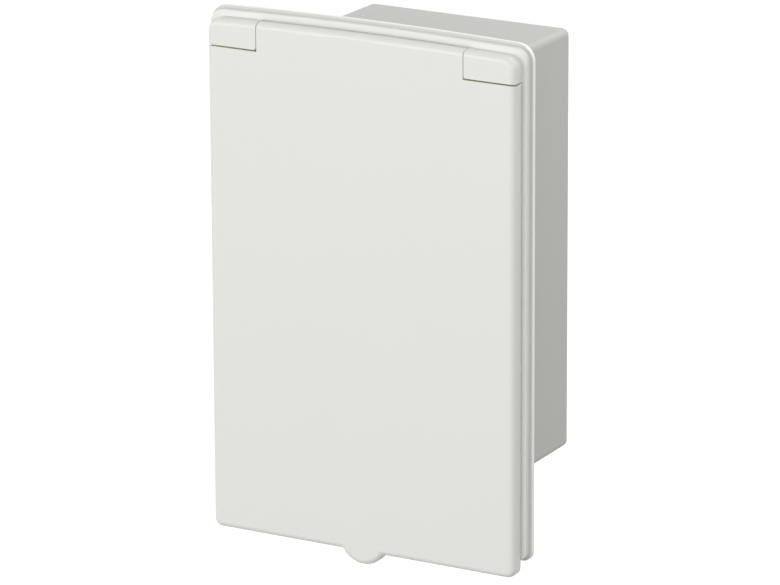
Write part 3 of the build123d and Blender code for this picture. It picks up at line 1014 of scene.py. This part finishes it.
@dataclass
class CableGland(SubAssembly):
    """Gland in the back wall with its ribbed rubber sleeve.

    Steps are numbers of points, and the crease is the angle in degrees above
    which an edge stays crisp.
    """

    WEAR: ClassVar[Mapping[str, Finish]] = {
        "gland_body": Finish.GREY,
        "gland_washer": Finish.RUBBER,
        "gland_locknut": Finish.GREY,
        "gland_seal": Finish.RUBBER,
        "gland_cap": Finish.GREY,
    }

    bore_radius: float = 5.5 * MM
    rib_depth: float = 0.45 * MM
    ribs: int = 4
    chamfer: float = 1.0 * MM
    crease: float = 40.0
    length_steps: int = 81
    round_steps: int = 72

    def build_sleeve(self) -> None:
        """Sleeve: a closed outline turned about the gland's axis.

        Outside it is a plain cylinder with one chamfer. Inside, the radius is
        the bore plus a share of half of one minus the cosine of several turns
        over the length, which leaves round ribs against the cable.
        """
        low, high = (np.array(corner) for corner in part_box("gland_seal"))
        radius = (high[0] - low[0]) / 2.0
        axis = (high[2] + low[2]) / 2.0
        share = np.linspace(1.0, 0.0, self.length_steps)
        wave = 0.5 - 0.5 * np.cos(FULL_TURN * self.ribs * share)
        inside = self.bore_radius + self.rib_depth * wave
        outside = np.array([radius, radius, radius - self.chamfer])
        reach = np.concatenate([outside, inside])[:, None]
        ends = np.array([low[1], high[1] - self.chamfer, high[1]])
        depth = np.concatenate([ends, low[1] + share * (high[1] - low[1])])[:, None]
        turn = round_turn(self.round_steps)
        level = np.broadcast_to(depth, (depth.size, turn.size))
        grid = np.stack([reach * np.cos(turn), level, axis + reach * np.sin(turn)], axis=-1)
        piece = ring_solid("cable_sleeve", grid, self.crease)
        fit_piece(piece, "housing", "rubber", self.materials[Finish.RUBBER], "gland_seal")

    def build(self) -> None:
        """Dresses the gland and adds its sleeve."""
        self.dress_nodes()
        self.build_sleeve()


@dataclass(frozen=True)
class Softbox:
    """Square soft light that faces the object, with its power in watts."""

    name: str
    place: Point
    size: float
    power: float

    def build(self) -> None:
        """Hangs the light up and turns it to the object."""
        data = bpy.data.lights.new(self.name, "AREA")
        data.size = self.size
        data.energy = self.power
        lamp = bpy.data.objects.new(self.name, data)
        bpy.context.scene.collection.objects.link(lamp)
        lamp.location = self.place
        lamp.rotation_mode = "QUATERNION"
        lamp.rotation_quaternion = (-Vector(self.place)).to_track_quat("-Z", "Y")
        LOG.info("hung %s", self.name)


@dataclass(frozen=True)
class Viewpoint:
    """Camera of the photograph, with angles in degrees and the sensor in millimetres.

    It stands at an azimuth, an elevation and a distance from the origin. The
    turn and the nod aim it a little beside the origin.
    """

    azimuth: float = 29.5292
    elevation: float = 16.5167
    distance: float = 1.8986
    turn: float = -0.1729
    nod: float = 0.1982
    roll: float = -0.2638
    focal_px: float = 5657.8
    image_px: float = 780.0
    sensor: float = 36.0
    far_limit: float = 100.0

    @staticmethod
    def direction(azimuth: float, height: float) -> Vector:
        """Unit vector from the object towards a viewer.

        Args:
            azimuth: Angle to the right of the front, in radians.
            height: Angle above the horizon, in radians.

        Returns:
            The direction.
        """
        level = math.cos(height)
        return Vector((math.sin(azimuth) * level, -math.cos(azimuth) * level, math.sin(height)))

    def build(self) -> None:
        """Sets up the camera and makes it the scene's own."""
        azimuth = math.radians(self.azimuth)
        height = math.radians(self.elevation)
        place = self.distance * self.direction(azimuth, height)
        azimuth += math.radians(self.turn)
        height += math.radians(self.nod)
        back = self.direction(azimuth, height)
        right = Vector((math.cos(azimuth), math.sin(azimuth), 0.0))
        axes = Matrix((right, back.cross(right), back)).transposed().to_4x4()
        data = bpy.data.cameras.new("camera")
        data.sensor_width = self.sensor
        data.lens = self.focal_px / self.image_px * self.sensor
        data.clip_end = self.far_limit
        camera = bpy.data.objects.new("camera", data)
        bpy.context.scene.collection.objects.link(camera)
        spin = Matrix.Rotation(math.radians(self.roll), 4, "Z")
        camera.matrix_world = Matrix.Translation(place) @ axes @ spin
        bpy.context.scene.camera = camera
        LOG.info("set up %s", camera.name)


@dataclass(frozen=True)
class Studio:
    """Pale floor, soft light and the camera.

    The floor's tone is what lights the object from below, its glow is added
    where it is seen, and the ambient is the world's strength on the object.
    """

    floor_level: float = -0.3
    floor_half: float = 12.0
    floor_tone: float = 0.22
    floor_glow: float = 0.92
    ambient: float = 0.45
    viewpoint: Viewpoint = Viewpoint()
    lamps: tuple[Softbox, ...] = (
        Softbox("key_light", place=(-0.5, -1.39, 0.26), size=0.9, power=9.7),
        Softbox("fill_light", place=(0.9, -1.16, 0.31), size=0.9, power=7.0),
        Softbox("left_light", place=(-1.33, -0.36, 0.24), size=0.7, power=3.2),
        Softbox("rim_light", place=(0.26, 0.96, 0.84), size=0.7, power=5.0),
        Softbox("rear_light", place=(0.69, 0.49, 0.31), size=0.4, power=0.8),
        Softbox("side_light", place=(0.3, 0.12, 0.24), size=0.2, power=0.16),
        Softbox("back_light", place=(-0.6, 1.2, 0.05), size=0.6, power=2.2),
    )

    @staticmethod
    def background_share(graph: Graph) -> Wire:
        """Tells rays that show the background from rays that light the object.

        Args:
            graph: Graph of the world or of the floor's material.

        Returns:
            1 for camera, mirror and transmission rays, and 0 for the others.
        """
        rays = [
            graph.node("ShaderNodeLightPath", output=name)
            for name in ("Is Camera Ray", "Is Glossy Ray", "Is Transmission Ray")
        ]
        return (rays[0] + rays[1] + rays[2]).at_most(1.0)

    def build_world(self) -> None:
        """White where it is seen, and plain soft light on the object."""
        world = bpy.data.worlds.new("studio")
        bpy.context.scene.world = world
        graph = Graph.of(world)
        strength = self.background_share(graph) * (1.0 - self.ambient) + self.ambient
        sky = graph.node(
            "ShaderNodeBackground", inputs={"Color": graph.paint(WHITE), "Strength": strength}
        )
        graph.add("ShaderNodeOutputWorld", inputs={"Surface": sky})

    def floor_material(self) -> bpy.types.Material:
        """Dull grey that glows where it is seen, so that it looks white and keeps shadows.

        Returns:
            The new material.
        """
        made = bpy.data.materials.new("pale_floor")
        graph = Graph.of(made)
        tone = (self.floor_tone, self.floor_tone, self.floor_tone)
        plain = graph.node("ShaderNodeBsdfDiffuse", inputs={"Color": graph.paint(tone)})
        strength = self.background_share(graph) * self.floor_glow
        glow = graph.node(
            "ShaderNodeEmission", inputs={"Color": graph.paint(WHITE), "Strength": strength}
        )
        both = graph.node("ShaderNodeAddShader", inputs={0: plain, 1: glow})
        graph.add("ShaderNodeOutputMaterial", inputs={"Surface": both})
        return made

    def build_floor(self) -> None:
        """Flat square floor below the object."""
        side = np.array([-self.floor_half, self.floor_half])
        x, y = np.meshgrid(side, side)
        points = np.stack([x, y, np.full_like(x, self.floor_level)], axis=-1).reshape(-1, 3)
        floor = mesh_piece("floor", points, np.array([[0, 1, 3, 2]]))
        floor.data.materials.append(self.floor_material())
        LOG.info("laid %s", floor.name)

    def build(self) -> None:
        """Makes the whole studio."""
        self.build_world()
        self.build_floor()
        for lamp in self.lamps:
            lamp.build()
        self.viewpoint.build()
        bpy.context.scene.view_settings.view_transform = "Standard"


def main() -> None:
    """Builds the finishes, the sub-assemblies and the studio in order."""
    logging.basicConfig(level=logging.INFO, format="%(name)s: %(message)s")
    materials = Palette().materials()
    for group in (Housing, Lid, Inlet, CableGland):
        group(materials).build()
    Studio().build()
    LOG.info("boxes written")


if __name__ == "__main__":
    main()
